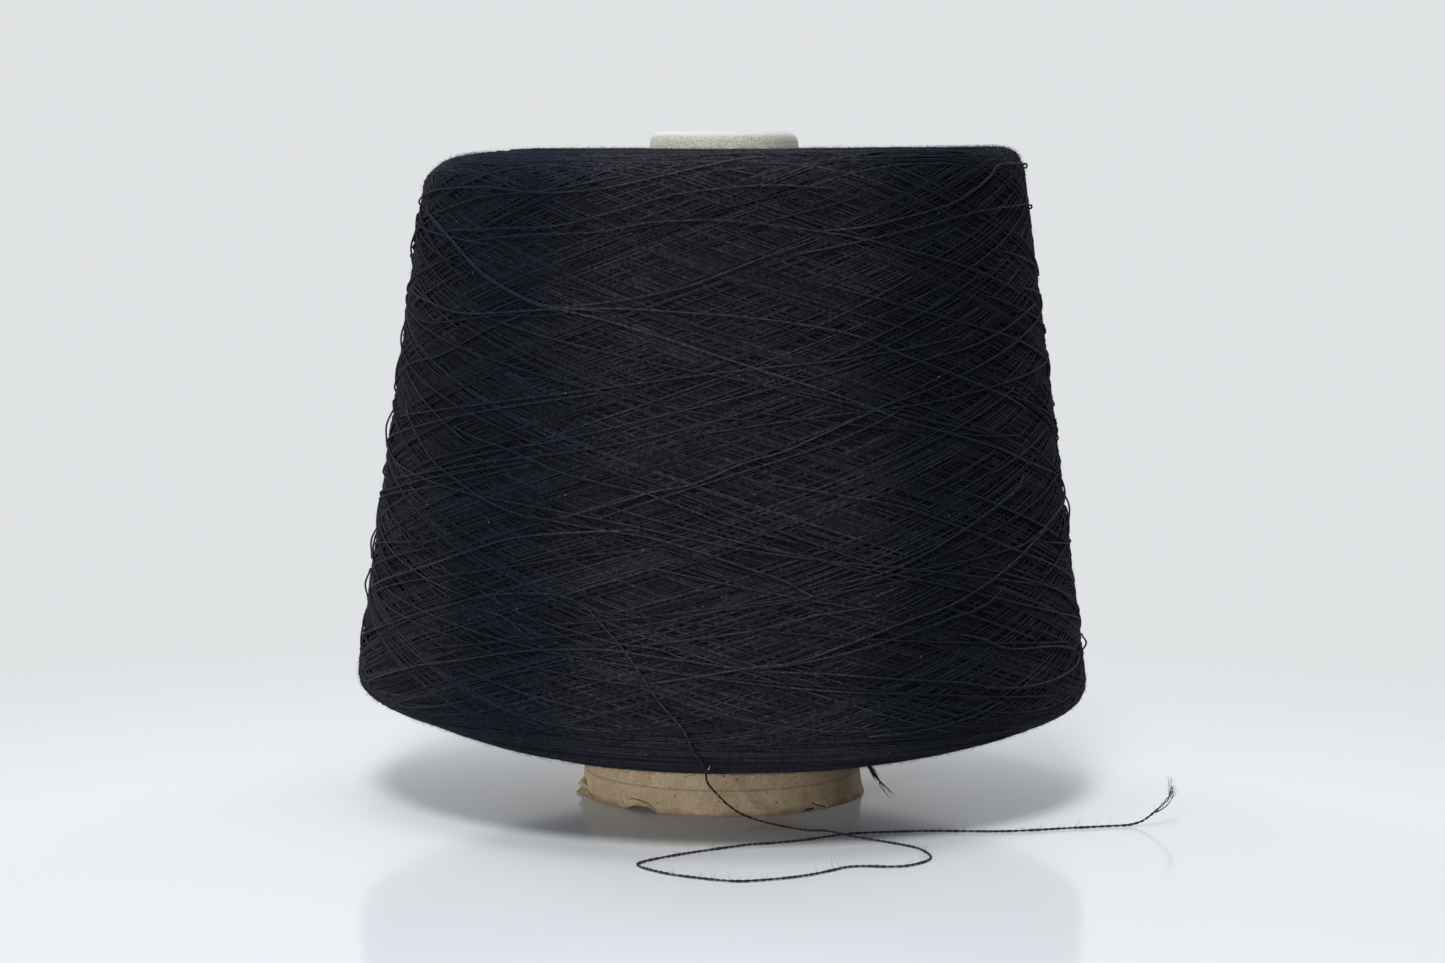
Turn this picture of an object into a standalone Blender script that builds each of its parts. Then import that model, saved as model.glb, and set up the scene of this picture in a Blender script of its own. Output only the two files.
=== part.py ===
"""Cone of thread: a tapered paper cone with a pale nose, thread wound across it, and the thread's loose ends.

Lengths are in metres. The origin is the centre of the cone's base, and +Z runs up to its nose.
"""

import math

import bpy
from mathutils import Vector, kdtree

# Paper cone
CONE_LENGTH = 0.170
CONE_BASE_DIAMETER = 0.0726
CONE_HALF_ANGLE = math.radians(5.95)
CONE_WALL = 0.0026
NOSE_ROUNDING = 0.0030
NOSE_TOP_FLAT = 0.0004
NOSE_LIP_HEIGHT = 0.0050
SCORE_HEIGHT = 0.0063
SCORE_WIDTH = 0.0008
SCORE_DEPTH = 0.0004

# Pale sleeve over the nose
SLEEVE_HEIGHT = 0.024
SLEEVE_THICKNESS = 0.0006

# Package of thread: how much of the cone it leaves bare, its corners before rounding, and each rounding's reach
NOSE_SHOWING = 0.0043
BASE_SHOWING = 0.0108
SHOULDER_RISE = 0.0174
PACKAGE_TOP_DIAMETER = 0.1515
PACKAGE_TOP_ROUNDING = 0.0070
PACKAGE_SHOULDER_DIAMETER = 0.1877
PACKAGE_SHOULDER_ROUNDING = 0.0049
UNDERSIDE_CURVE = 1.59
PACKAGE_TOP = CONE_LENGTH - NOSE_SHOWING
PACKAGE_SHOULDER = BASE_SHOWING + SHOULDER_RISE

# Outer winding: strokes run up and down the package in turn, the downward ones over the upward ones
WINDING_THREAD = 0.0012
WINDING_STROKES = 24
STEPS_A_STROKE = 23
STEPS_A_LOOP = 24
WINDING_LAYER_GAP = 0.00055
WINDING_START_ANGLE = math.radians(-100)

# Loose thread
THREAD_DIAMETER = 0.0007
PLY_DIAMETER = 0.0004

# What touches is kept this far apart
GAP = 0.0003

TURNED_STEPS = 48
ARC_STEPS = 6
CURVE_STEPS = 12

# The tail's route: down from the underside, out over the floor and back, over itself once, and up at its end
TAIL_ROUTE = [
    (-0.0030, -0.0473, 0.0098),
    (-0.0009, -0.0470, 0.0074),
    (0.0014, -0.0463, 0.0050),
    (0.0048, -0.0456, 0.0025),
    (0.0095, -0.0456, 0.0008),
    (0.0146, -0.0503, 0.0005),
    (0.0205, -0.0573, 0.0009),
    (0.0255, -0.0622, 0.0017),
    (0.0317, -0.0647, 0.0009),
    (0.0381, -0.0673, 0.0004),
    (0.0427, -0.0712, 0.0004),
    (0.0470, -0.0763, 0.0004),
    (0.0491, -0.0840, 0.0004),
    (0.0481, -0.0898, 0.0004),
    (0.0435, -0.0953, 0.0004),
    (0.0390, -0.0967, 0.0004),
    (0.0340, -0.0962, 0.0004),
    (0.0295, -0.0970, 0.0004),
    (0.0257, -0.1006, 0.0004),
    (0.0210, -0.1052, 0.0004),
    (0.0155, -0.1089, 0.0004),
    (0.0087, -0.1118, 0.0004),
    (0.0020, -0.1127, 0.0004),
    (-0.0095, -0.1072, 0.0004),
    (-0.0143, -0.1032, 0.0004),
    (-0.0180, -0.0988, 0.0004),
    (-0.0195, -0.0953, 0.0004),
    (-0.0187, -0.0929, 0.0004),
    (-0.0165, -0.0900, 0.0004),
    (-0.0088, -0.0830, 0.0004),
    (0.0013, -0.0757, 0.0004),
    (0.0070, -0.0720, 0.0004),
    (0.0130, -0.0700, 0.0004),
    (0.0195, -0.0668, 0.0004),
    (0.0248, -0.0631, 0.0004),
    (0.0300, -0.0597, 0.0004),
    (0.0361, -0.0575, 0.0004),
    (0.0510, -0.0553, 0.0004),
    (0.0690, -0.0553, 0.0004),
    (0.0850, -0.0512, 0.0004),
    (0.0940, -0.0488, 0.0004),
    (0.0998, -0.0477, 0.0005),
    (0.1025, -0.0470, 0.0010),
    (0.1045, -0.0465, 0.0019),
    (0.1075, -0.0460, 0.0043),
    (0.1092, -0.0460, 0.0060),
    (0.1104, -0.0460, 0.0078),
    (0.1109, -0.0460, 0.0098),
]
TAIL_POINTS = 80
TAIL_EXIT = (-0.0038, -0.0478)

LOOSE_PLY_ROUTE = [
    (0.1080, -0.0470, 0.0040),
    (0.1093, -0.0474, 0.0052),
    (0.1103, -0.0475, 0.0065),
    (0.1110, -0.0474, 0.0080),
]
LOOSE_PLY_POINTS = 8

START_TAIL_EXIT = (0.0370, -0.0222)
START_TAIL_ROUTE = [
    (0.0373, -0.0222, 0.0098),
    (0.0388, -0.0225, 0.0080),
    (0.0403, -0.0230, 0.0060),
    (0.0416, -0.0233, 0.0043),
    (0.0434, -0.0235, 0.0022),
]
START_TAIL_POINTS = 10

KRAFT = {"color": (0.30, 0.22, 0.14, 1), "roughness": 0.85}
PALE_NOSE = {"color": (0.66, 0.66, 0.61, 1), "roughness": 0.95}
BLACK_THREAD = {"color": (0.011, 0.011, 0.014, 1), "roughness": 0.8}


def clear_scene():
    for obj in list(bpy.data.objects):
        bpy.data.objects.remove(obj, do_unlink=True)


def make_material(name, finish):
    material = bpy.data.materials.new(name)
    material.use_nodes = True
    shader = material.node_tree.nodes["Principled BSDF"]
    shader.inputs["Base Color"].default_value = finish["color"]
    shader.inputs["Roughness"].default_value = finish["roughness"]
    shader.inputs["Metallic"].default_value = 0.0
    return material


def turned(name, profile, finish, collection):
    """A ring turned about Z from a closed profile of (radius, height) that starts down its outer side."""
    mesh = bpy.data.meshes.new(name)
    edges = [(i, (i + 1) % len(profile)) for i in range(len(profile))]
    mesh.from_pydata([(radius, 0, height) for radius, height in profile], edges, [])
    mesh.materials.append(make_material(name, finish))
    obj = bpy.data.objects.new(name, mesh)
    collection.objects.link(obj)
    screw = obj.modifiers.new("Turn", "SCREW")
    screw.steps = TURNED_STEPS
    screw.render_steps = TURNED_STEPS
    screw.use_merge_vertices = True
    screw.merge_threshold = 0.00001
    screw.use_smooth_shade = True
    return obj


def tube(name, points, diameter, sides_setting, finish, collection):
    """A round thread along a row of points, closed at both ends."""
    curve = bpy.data.curves.new(name, "CURVE")
    curve.dimensions = "3D"
    curve.bevel_depth = diameter / 2
    curve.bevel_resolution = sides_setting
    curve.use_fill_caps = True
    spline = curve.splines.new("POLY")
    spline.points.add(len(points) - 1)
    for spline_point, point in zip(spline.points, points):
        spline_point.co = (*point, 1)
    curve.materials.append(make_material(name, finish))
    obj = bpy.data.objects.new(name, curve)
    collection.objects.link(obj)
    return obj


def smooth_route(route, count):
    """So many evenly spaced points on a smooth curve through the points of a route."""
    stops = [Vector(p) for p in route]
    before = stops[0] * 2 - stops[1]
    after = stops[-1] * 2 - stops[-2]
    stops = [before, *stops, after]
    fine = []
    for p0, p1, p2, p3 in zip(stops, stops[1:], stops[2:], stops[3:]):
        for k in range(CURVE_STEPS):
            t = k / CURVE_STEPS
            fine.append(
                0.5
                * (
                    2 * p1
                    + (p2 - p0) * t
                    + (2 * p0 - 5 * p1 + 4 * p2 - p3) * t**2
                    + (3 * p1 - p0 - 3 * p2 + p3) * t**3
                )
            )
    fine.append(stops[-2])
    along = [0.0]
    for a, b in zip(fine, fine[1:]):
        along.append(along[-1] + (b - a).length)
    points = []
    i = 0
    for k in range(count):
        wanted = along[-1] * k / (count - 1)
        while i < len(fine) - 2 and along[i + 1] < wanted:
            i += 1
        share = (wanted - along[i]) / (along[i + 1] - along[i])
        points.append(fine[i].lerp(fine[i + 1], min(share, 1)))
    return points, along[-1]


def arc(centre, radius, start, end):
    """Points of an arc in a profile, from one angle above the horizontal to another."""
    angles = [start + (end - start) * k / ARC_STEPS for k in range(ARC_STEPS + 1)]
    return [(centre[0] + radius * math.cos(a), centre[1] + radius * math.sin(a)) for a in angles]


def rounded_corner(start, corner, end):
    """Points of the curve that leaves one side of a corner and meets the other."""
    points = []
    for k in range(ARC_STEPS + 1):
        t = k / ARC_STEPS
        weights = ((1 - t) ** 2, 2 * t * (1 - t), t**2)
        points.append(tuple(sum(w * p[axis] for w, p in zip(weights, (start, corner, end))) for axis in (0, 1)))
    return points


def between(start, end, share):
    return tuple(a + (b - a) * share for a, b in zip(start, end))


def cone_radius(height):
    return CONE_BASE_DIAMETER / 2 - height * math.tan(CONE_HALF_ANGLE)


def inset_radius(height, depth):
    """The radius so deep under the cone's outside, square to its slope."""
    return cone_radius(height) - depth / math.cos(CONE_HALF_ANGLE)


def nose_centre():
    """Centre of the rounding between the cone's slope and its flat top."""
    height = CONE_LENGTH - NOSE_ROUNDING
    return inset_radius(height, NOSE_ROUNDING), height


def lip_radius():
    """The nose's opening: inside the rounding there is a narrow flat, and the lip stands below it."""
    return nose_centre()[0] - NOSE_TOP_FLAT


def make_paper_cone(collection):
    recess = SLEEVE_THICKNESS + GAP
    sleeve_foot = CONE_LENGTH - SLEEVE_HEIGHT - GAP
    lip_foot = CONE_LENGTH - NOSE_LIP_HEIGHT
    bore_top = lip_foot - NOSE_ROUNDING
    nose = arc(nose_centre(), NOSE_ROUNDING - recess, math.pi / 2, CONE_HALF_ANGLE)
    profile = [
        (lip_radius(), CONE_LENGTH - recess),
        *nose,
        (inset_radius(sleeve_foot, recess), sleeve_foot),
        (cone_radius(sleeve_foot), sleeve_foot),
        (cone_radius(SCORE_HEIGHT + SCORE_WIDTH / 2), SCORE_HEIGHT + SCORE_WIDTH / 2),
        (inset_radius(SCORE_HEIGHT, SCORE_DEPTH), SCORE_HEIGHT),
        (cone_radius(SCORE_HEIGHT - SCORE_WIDTH / 2), SCORE_HEIGHT - SCORE_WIDTH / 2),
        (cone_radius(0), 0),
        (inset_radius(0, CONE_WALL), 0),
        (inset_radius(bore_top, CONE_WALL), bore_top),
        (lip_radius(), lip_foot),
    ]
    return turned("paper_cone", profile, KRAFT, collection)


def make_nose_sleeve(collection):
    foot = CONE_LENGTH - SLEEVE_HEIGHT
    outside = arc(nose_centre(), NOSE_ROUNDING, math.pi / 2, CONE_HALF_ANGLE)
    inside = arc(nose_centre(), NOSE_ROUNDING - SLEEVE_THICKNESS, CONE_HALF_ANGLE, math.pi / 2)
    profile = [
        (lip_radius(), CONE_LENGTH),
        *outside,
        (cone_radius(foot), foot),
        (inset_radius(foot, SLEEVE_THICKNESS), foot),
        *inside,
        (lip_radius(), CONE_LENGTH - SLEEVE_THICKNESS),
    ]
    return turned("nose_sleeve", profile, PALE_NOSE, collection)


def flank_radius(height):
    """Outside of the package between its shoulder and its top."""
    top, shoulder = PACKAGE_TOP_DIAMETER / 2, PACKAGE_SHOULDER_DIAMETER / 2
    return shoulder + (top - shoulder) * (height - PACKAGE_SHOULDER) / (PACKAGE_TOP - PACKAGE_SHOULDER)


def underside_height(radius):
    """The underside curves up from the cone to the shoulder."""
    inner = cone_radius(BASE_SHOWING)
    share = max(radius - inner, 0) / (PACKAGE_SHOULDER_DIAMETER / 2 - inner)
    return BASE_SHOWING + (PACKAGE_SHOULDER - BASE_SHOWING) * share**UNDERSIDE_CURVE


def half_step_rise():
    """How far a loop's straight stretches dip towards the axis at the package's widest."""
    return PACKAGE_SHOULDER_DIAMETER / 2 * (1 - math.cos(math.pi / STEPS_A_LOOP))


def core_depth():
    """How deep the core lies under the package's outside: two layers of thread and their clearances."""
    return 2 * WINDING_THREAD + WINDING_LAYER_GAP + half_step_rise() + GAP


def core_radius(height):
    return flank_radius(height) - core_depth()


def core_shoulder():
    """Where the core's side meets its underside."""
    height = PACKAGE_SHOULDER
    for _ in range(20):
        height = underside_height(core_radius(height))
    return core_radius(height), height


def make_wound_core(collection):
    shoulder = core_shoulder()
    top_corner = (core_radius(PACKAGE_TOP), PACKAGE_TOP)
    side_length = math.dist(shoulder, top_corner)
    top_inner = (cone_radius(PACKAGE_TOP) + GAP, PACKAGE_TOP)
    side_top = between(top_corner, shoulder, PACKAGE_TOP_ROUNDING / side_length)
    side_foot = between(shoulder, top_corner, PACKAGE_SHOULDER_ROUNDING / side_length)
    top_edge = (top_corner[0] - PACKAGE_TOP_ROUNDING, PACKAGE_TOP)
    under_edge_radius = shoulder[0] - PACKAGE_SHOULDER_ROUNDING
    under_edge = (under_edge_radius, underside_height(under_edge_radius))
    inner = cone_radius(BASE_SHOWING) + GAP
    underside = []
    for k in range(1, CURVE_STEPS):
        radius = under_edge_radius + (inner - under_edge_radius) * k / CURVE_STEPS
        underside.append((radius, underside_height(radius)))
    profile = [
        top_inner,
        *rounded_corner(top_edge, top_corner, side_top),
        *rounded_corner(side_foot, shoulder, under_edge),
        *underside,
        (inner, BASE_SHOWING),
    ]
    return turned("wound_core", profile, BLACK_THREAD, collection)


def winding_points():
    """The winding's middle line: straight strokes that turn back at the package's ends, one loop after another."""
    low = PACKAGE_SHOULDER + PACKAGE_SHOULDER_ROUNDING
    high = PACKAGE_TOP - PACKAGE_TOP_ROUNDING
    outer_depth = WINDING_THREAD / 2
    layer_step = WINDING_THREAD + WINDING_LAYER_GAP

    def point_at(angle, depth, height):
        radius = flank_radius(height) - depth
        return Vector((radius * math.cos(angle), radius * math.sin(angle), height))

    points = []
    # The first step is left out, so that the two ends lie apart.
    for step in range(1, WINDING_STROKES * STEPS_A_STROKE + 1):
        stroke, within = divmod(step, STEPS_A_STROKE)
        share = within / STEPS_A_STROKE
        rising = stroke % 2 == 0
        height = low + (high - low) * (share if rising else 1 - share)
        layer = 1 if rising else 0
        if within == 0:
            layer = 0.5
        angle = WINDING_START_ANGLE + 2 * math.pi * step / STEPS_A_LOOP
        points.append(point_at(angle, outer_depth + layer * layer_step, height))

    # Both ends run straight in to the core.
    def foot_under(point):
        height = point.z
        radius = core_radius(height) + GAP
        direction = Vector((point.x, point.y, 0)).normalized()
        return direction * radius + Vector((0, 0, height))

    return [foot_under(points[0]), *points, foot_under(points[-1])]


def least_gap(points, diameter, parts=8):
    """The least gap of a tube to itself, between points that lie over four diameters apart along it."""
    fine = []
    for a, b in zip(points, points[1:]):
        fine.extend(a.lerp(b, k / parts) for k in range(parts))
    along = [0.0]
    for a, b in zip(fine, fine[1:]):
        along.append(along[-1] + (b - a).length)
    tree = kdtree.KDTree(len(fine))
    for i, point in enumerate(fine):
        tree.insert(point, i)
    tree.balance()
    reach = 4 * diameter
    least = reach
    for i, point in enumerate(fine):
        for _, j, distance in tree.find_range(point, reach):
            if along[j] - along[i] > reach:
                least = min(least, distance)
    return least - diameter


def make_outer_winding(collection):
    points = winding_points()
    loops = WINDING_STROKES * STEPS_A_STROKE / STEPS_A_LOOP
    gap = least_gap(points, WINDING_THREAD)
    print(f"outer_winding: {loops:.0f} loops, least gap to itself {gap * 1000:.2f} mm")
    return tube("outer_winding", points, WINDING_THREAD, 1, BLACK_THREAD, collection)


def hung_from_underside(exit_place, route):
    """A route with its first points straight down from the package's underside."""
    top = underside_height(math.hypot(*exit_place)) - GAP
    return [(*exit_place, top), (*exit_place, top - THREAD_DIAMETER), *route]


def make_loose_ends(collection):
    tail, length = smooth_route(hung_from_underside(TAIL_EXIT, TAIL_ROUTE), TAIL_POINTS)
    tail_gap = least_gap(tail, THREAD_DIAMETER)
    print(f"thread_tail: {length * 1000:.0f} mm long, least gap to itself {tail_gap * 1000:.2f} mm")
    tube("thread_tail", tail, THREAD_DIAMETER, 2, BLACK_THREAD, collection)
    ply, _ = smooth_route(LOOSE_PLY_ROUTE, LOOSE_PLY_POINTS)
    tube("tail_loose_ply", ply, PLY_DIAMETER, 2, BLACK_THREAD, collection)
    start, start_length = smooth_route(hung_from_underside(START_TAIL_EXIT, START_TAIL_ROUTE), START_TAIL_POINTS)
    print(f"start_tail: {start_length * 1000:.0f} mm long")
    tube("start_tail", start, THREAD_DIAMETER, 2, BLACK_THREAD, collection)


def main():
    clear_scene()
    collection = bpy.data.collections.new("thread_cone")
    bpy.context.scene.collection.children.link(collection)
    make_paper_cone(collection)
    make_nose_sleeve(collection)
    make_wound_core(collection)
    make_outer_winding(collection)
    make_loose_ends(collection)


main()
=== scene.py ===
import bpy
import mathutils
import numpy as np
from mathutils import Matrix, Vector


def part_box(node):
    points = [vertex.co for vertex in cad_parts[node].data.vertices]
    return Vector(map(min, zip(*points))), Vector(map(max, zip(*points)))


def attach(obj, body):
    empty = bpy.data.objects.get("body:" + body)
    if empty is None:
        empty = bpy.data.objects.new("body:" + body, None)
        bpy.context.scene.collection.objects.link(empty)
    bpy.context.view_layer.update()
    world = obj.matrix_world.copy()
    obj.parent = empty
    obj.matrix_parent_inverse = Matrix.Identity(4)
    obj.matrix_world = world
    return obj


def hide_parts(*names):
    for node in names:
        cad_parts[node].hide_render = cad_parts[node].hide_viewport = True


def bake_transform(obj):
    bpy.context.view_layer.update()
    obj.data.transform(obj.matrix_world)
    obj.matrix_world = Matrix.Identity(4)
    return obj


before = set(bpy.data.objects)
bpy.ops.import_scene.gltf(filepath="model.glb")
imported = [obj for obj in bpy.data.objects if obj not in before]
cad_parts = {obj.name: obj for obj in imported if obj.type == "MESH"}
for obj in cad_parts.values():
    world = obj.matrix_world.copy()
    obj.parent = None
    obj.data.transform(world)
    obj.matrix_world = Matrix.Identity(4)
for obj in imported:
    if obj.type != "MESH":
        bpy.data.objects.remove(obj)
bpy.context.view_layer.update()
chance = np.random.default_rng(11)
mm = 0.001


class Socket:  # a node's output that can be written in sums, as a number can
    def __init__(self, finish, output):
        self.finish, self.output = finish, output

    def maths(self, operation, *values):
        return self.finish.node("Math", {"operation": operation}, dict(enumerate(values)))

    def __add__(self, other):
        return self.maths("ADD", self, other)

    def __sub__(self, other):
        return self.maths("SUBTRACT", self, other)

    def __rsub__(self, other):
        return self.maths("SUBTRACT", other, self)

    def __mul__(self, other):
        return self.maths("MULTIPLY", self, other)

    def __mod__(self, other):
        return self.maths("MODULO", self, other)

    def __rmod__(self, other):
        return self.maths("MODULO", other, self)

    def __abs__(self):
        return self.maths("ABSOLUTE", self)

    def __gt__(self, other):
        return self.maths("GREATER_THAN", self, other)

    def __lt__(self, other):
        return self.maths("LESS_THAN", self, other)

    __radd__, __rmul__ = __add__, __mul__


class Finish:  # one material, or the sky, and its nodes
    def __init__(self, owner, shader="Principled BSDF", **constants):
        owner.use_nodes = True
        self.material = owner
        self.tree = owner.node_tree
        self.shader = self.tree.nodes[shader]
        self.give(**constants)

    def feed(self, socket, value):
        if isinstance(value, Socket):
            self.tree.links.new(value.output, socket)
        else:
            socket.default_value = value

    def node(self, kind, settings=None, sockets=None, output=0):
        made = self.tree.nodes.new("ShaderNode" + kind)
        for key, value in (settings or {}).items():
            setattr(made, key, value)
        for key, value in (sockets or {}).items():
            self.feed(made.inputs[key], value)
        return Socket(self, made.outputs[output])

    def give(self, **values):  # baseColor=... fills the shader's Base Color
        names = {socket.name.replace(" ", "").lower(): socket for socket in self.shader.inputs}
        for key, value in values.items():
            self.feed(names[key.lower()], value)

    def place(self):
        return self.node("TexCoord", output="Object")

    def axis(self, name):
        return self.node("SeparateXYZ", {}, {0: self.place()}, name)

    def tone(self):  # the shade that each point of a mesh carries
        return self.node("Attribute", {"attribute_name": "tone"}, output="Fac")

    def noise(self, scale, detail, stretch=(1, 1, 1), distortion=0):
        at = self.node("Mapping", {}, {"Vector": self.place(), "Scale": stretch})
        values = {"Vector": at, "Scale": scale, "Detail": detail, "Distortion": distortion}
        return self.node("TexNoise", {}, values)

    def between(self, value, low, high):  # 0 below low, 1 above high, smooth between them
        steps = {"Value": value, "From Min": low, "From Max": high}
        return self.node("MapRange", {"interpolation_type": "SMOOTHSTEP"}, steps)

    def mix(self, share, first, second):
        return self.node("Mix", {"data_type": "RGBA"}, {0: share, 6: first, 7: second}, 2)

    def stain(self, colour, value, low, high, strength, tint):  # tinted where the value nears high
        return self.mix(self.between(value, low, high) * strength, colour, tint)

    def dim(self, colour, factor):  # a colour times a varying number
        return self.node("VectorMath", {"operation": "SCALE"}, {0: colour, "Scale": factor})

    def bump(self, height, strength, distance):
        return self.node("Bump", {}, {"Height": height, "Strength": strength, "Distance": distance})


def newFinish(name, **constants):
    return Finish(bpy.data.materials.new(name), **constants)


def gained(value, start, gain):  # start where the value is 0, and gain more where it is 1
    return start + gain * value


def makePiece(name, finish, points, faces, tone=None):
    mesh = bpy.data.meshes.new(name)
    mesh.from_pydata(np.asarray(points).reshape(-1, 3).tolist(), [], faces)
    mesh.shade_smooth()
    if tone is not None:
        mesh.attributes.new("tone", "FLOAT", "POINT").data.foreach_set("value", tone)
    mesh.materials.append(finish.material)
    piece = bpy.data.objects.new(name, mesh)
    bpy.context.collection.objects.link(piece)
    return piece


def settle(piece, body, slot, *nodes):  # what it moves with, a slot that is not used, and what it stands for
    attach(piece, body)
    if nodes:
        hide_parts(*nodes)


def unit(vectors):
    return vectors / np.maximum(np.linalg.norm(vectors, axis=-1, keepdims=True), 1e-12)


def evenTurns(count):  # angles evenly round a circle
    return np.arange(count) * 2 * np.pi / count


def tubes(paths, radius, sides, outward):
    # paths: thread, point, xyz; outward tells which way each point's first corner faces
    along = unit(np.gradient(paths, axis=1))
    side = unit(np.cross(along, outward))
    over = np.cross(side, along)
    angle = evenTurns(sides)
    ring = np.cos(angle)[:, None] * over[:, :, None] + np.sin(angle)[:, None] * side[:, :, None]
    points = paths[:, :, None] + np.broadcast_to(radius, paths.shape[:2])[:, :, None, None] * ring
    index = np.arange(points.size // 3).reshape(points.shape[:3])
    after = np.roll(index, -1, axis=2)
    walls = np.stack([index[:, :-1], after[:, :-1], after[:, 1:], index[:, 1:]], -1)
    faces = walls.reshape(-1, 4).tolist() + index[:, 0, ::-1].tolist() + index[:, -1].tolist()
    return points.reshape(-1, 3), faces


def toned(shape, tone):  # points and faces, all of one shade
    points, faces = shape
    return points, faces, np.full(len(points), tone)


def joined(groups):  # several (points, faces, tone) as one
    points, faces, tone, start = [], [], [], 0
    for somePoints, someFaces, someTone in groups:
        points.append(somePoints)
        faces += [[start + corner for corner in face] for face in someFaces]
        tone.append(someTone)
        start += len(somePoints)
    return np.concatenate(points), faces, np.concatenate(tone)


def lengthAlong(path):  # how far along a path each of its points lies
    return np.append(0, np.cumsum(np.linalg.norm(np.diff(path, axis=0), axis=1)))


def smoothRoute(route, step, fineness=24):  # a curve through the points, evenly spaced
    route = np.asarray(route, float)
    ends = np.vstack([2 * route[0] - route[1], route, 2 * route[-1] - route[-2]])
    share = np.linspace(0, 1, fineness, endpoint=False)[:, None]
    curve = []
    for before, start, end, later in zip(ends, ends[1:], ends[2:], ends[3:]):
        bend = 2 * before - 5 * start + 4 * end - later
        swing = 3 * start - before - 3 * end + later
        curve.append(0.5 * (2 * start + (end - before) * share + bend * share**2 + swing * share**3))
    curve = np.vstack(curve + [route[-1:]])
    length = lengthAlong(curve)
    even = np.linspace(0, length[-1], max(2, round(length[-1] / step) + 1))
    return np.stack([np.interp(even, length, curve[:, axis]) for axis in range(3)], 1)


def woven(points):  # faces of a grid of points that closes both ways
    index = np.arange(points.size // 3).reshape(points.shape[:2])
    nextTurn, nextPoint = np.roll(index, -1, axis=0), np.roll(index, -1, axis=1)
    faces = np.stack([index, nextTurn, np.roll(nextTurn, -1, axis=1), nextPoint], -1)
    return points.reshape(-1, 3), faces.reshape(-1, 4).tolist()


def upright(turn, radius, height):  # points from an angle round the axis, a radius and a height
    return np.stack(np.broadcast_arrays(radius * np.cos(turn), radius * np.sin(turn), height), -1)


def hump(value, middle, width):  # 1 at the middle, 0 at a width away
    return np.cos(np.clip((value - middle) / width, -1, 1) * np.pi / 2) ** 2


def ramp(value, start, end):  # 0 at the start, 1 at the end, straight between them
    return np.clip((value - start) / (end - start), 0, 1)


shot = dict(
    place=(0, -0.87412, 0.16673), pitch=0.098573, roll=-0.0035, yaw=0.00047, lens=85, sensor=36,
    nearest=0.01, photo=(1445, 963),  # the photo's pixels
)
cameraTurn = mathutils.Euler((np.pi / 2 - shot["pitch"], shot["roll"], shot["yaw"]))
lighting = dict(
    sky=(0.195, 0.202, 0.214, 1), backdrop=(0.745, 0.762, 0.777, 1),
    lamps=[  # name, place, size, power, mirrored by gloss
        ("key", (-0.22, -1.50, 1.85), 0.62, 36, True),
        ("fill", (-1.05, -1.75, 0.20), 0.40, 23.5, True),
        ("top", (0.00, -0.15, 1.90), 1.20, 10, True),
        ("backLeft", (-1.00, 1.30, 0.40), 0.90, 18, False),
        ("backRight", (1.00, 1.30, 0.40), 0.90, 15, False),
    ],
)
ground = dict(
    radius=3, corners=64, colour=(0.735, 0.768, 0.808, 1), roughness=0.12, gloss=0.066,
    fadeCentre=(0, -0.12, 0), fadeFrom=0.10, fadeTo=0.42,
)


def makeCamera():
    camera = bpy.data.cameras.new("camera")
    camera.lens, camera.sensor_width, camera.sensor_fit = shot["lens"], shot["sensor"], "HORIZONTAL"
    camera.clip_start = shot["nearest"]
    seen = bpy.data.objects.new("camera", camera)
    seen.location = shot["place"]
    seen.rotation_euler = cameraTurn
    bpy.context.collection.objects.link(seen)
    bpy.context.scene.camera = seen


def makeLamp(name, place, size, power, mirrored):
    lamp = bpy.data.lights.new(name, "AREA")
    lamp.shape, lamp.size, lamp.energy = "DISK", size, power
    stand = bpy.data.objects.new(name, lamp)
    stand.location = place
    stand.rotation_euler = (-stand.location).to_track_quat("-Z", "Y").to_euler()
    stand.visible_camera, stand.visible_glossy = False, mirrored
    bpy.context.collection.objects.link(stand)


def makeSky():
    bpy.context.scene.world = bpy.data.worlds.new("studio")
    sky = Finish(bpy.context.scene.world, "Background")
    kinds = ("Camera", "Glossy", "Transmission")
    seen = sum(sky.node("LightPath", output=f"Is {kind} Ray") for kind in kinds)
    sky.give(color=sky.mix(seen, lighting["sky"], lighting["backdrop"]))


def makeGround():  # glossy near the object, fading into the backdrop
    finish = newFinish("paleFloor", baseColor=ground["colour"], roughness=ground["roughness"],
                       specularIORLevel=ground["gloss"])
    ends = {0: finish.place(), 1: ground["fadeCentre"]}
    away = finish.node("VectorMath", {"operation": "DISTANCE"}, ends, "Value")
    gone = finish.between(away, ground["fadeFrom"], ground["fadeTo"])
    clear = finish.node("BsdfTransparent")
    surface = Socket(finish, finish.shader.outputs[0])
    faded = finish.node("MixShader", {}, {0: gone, 1: surface, 2: clear})
    finish.feed(finish.tree.nodes["Material Output"].inputs["Surface"], faded)
    points = upright(evenTurns(ground["corners"]), ground["radius"], 0)
    makePiece("floor", finish, points, [list(range(ground["corners"]))])


bpy.context.scene.view_settings.view_transform = "Standard"
makeCamera()
makeSky()
for lamp in lighting["lamps"]:
    makeLamp(*lamp)
makeGround()
print("camera, lamps and floor stand")

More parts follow.
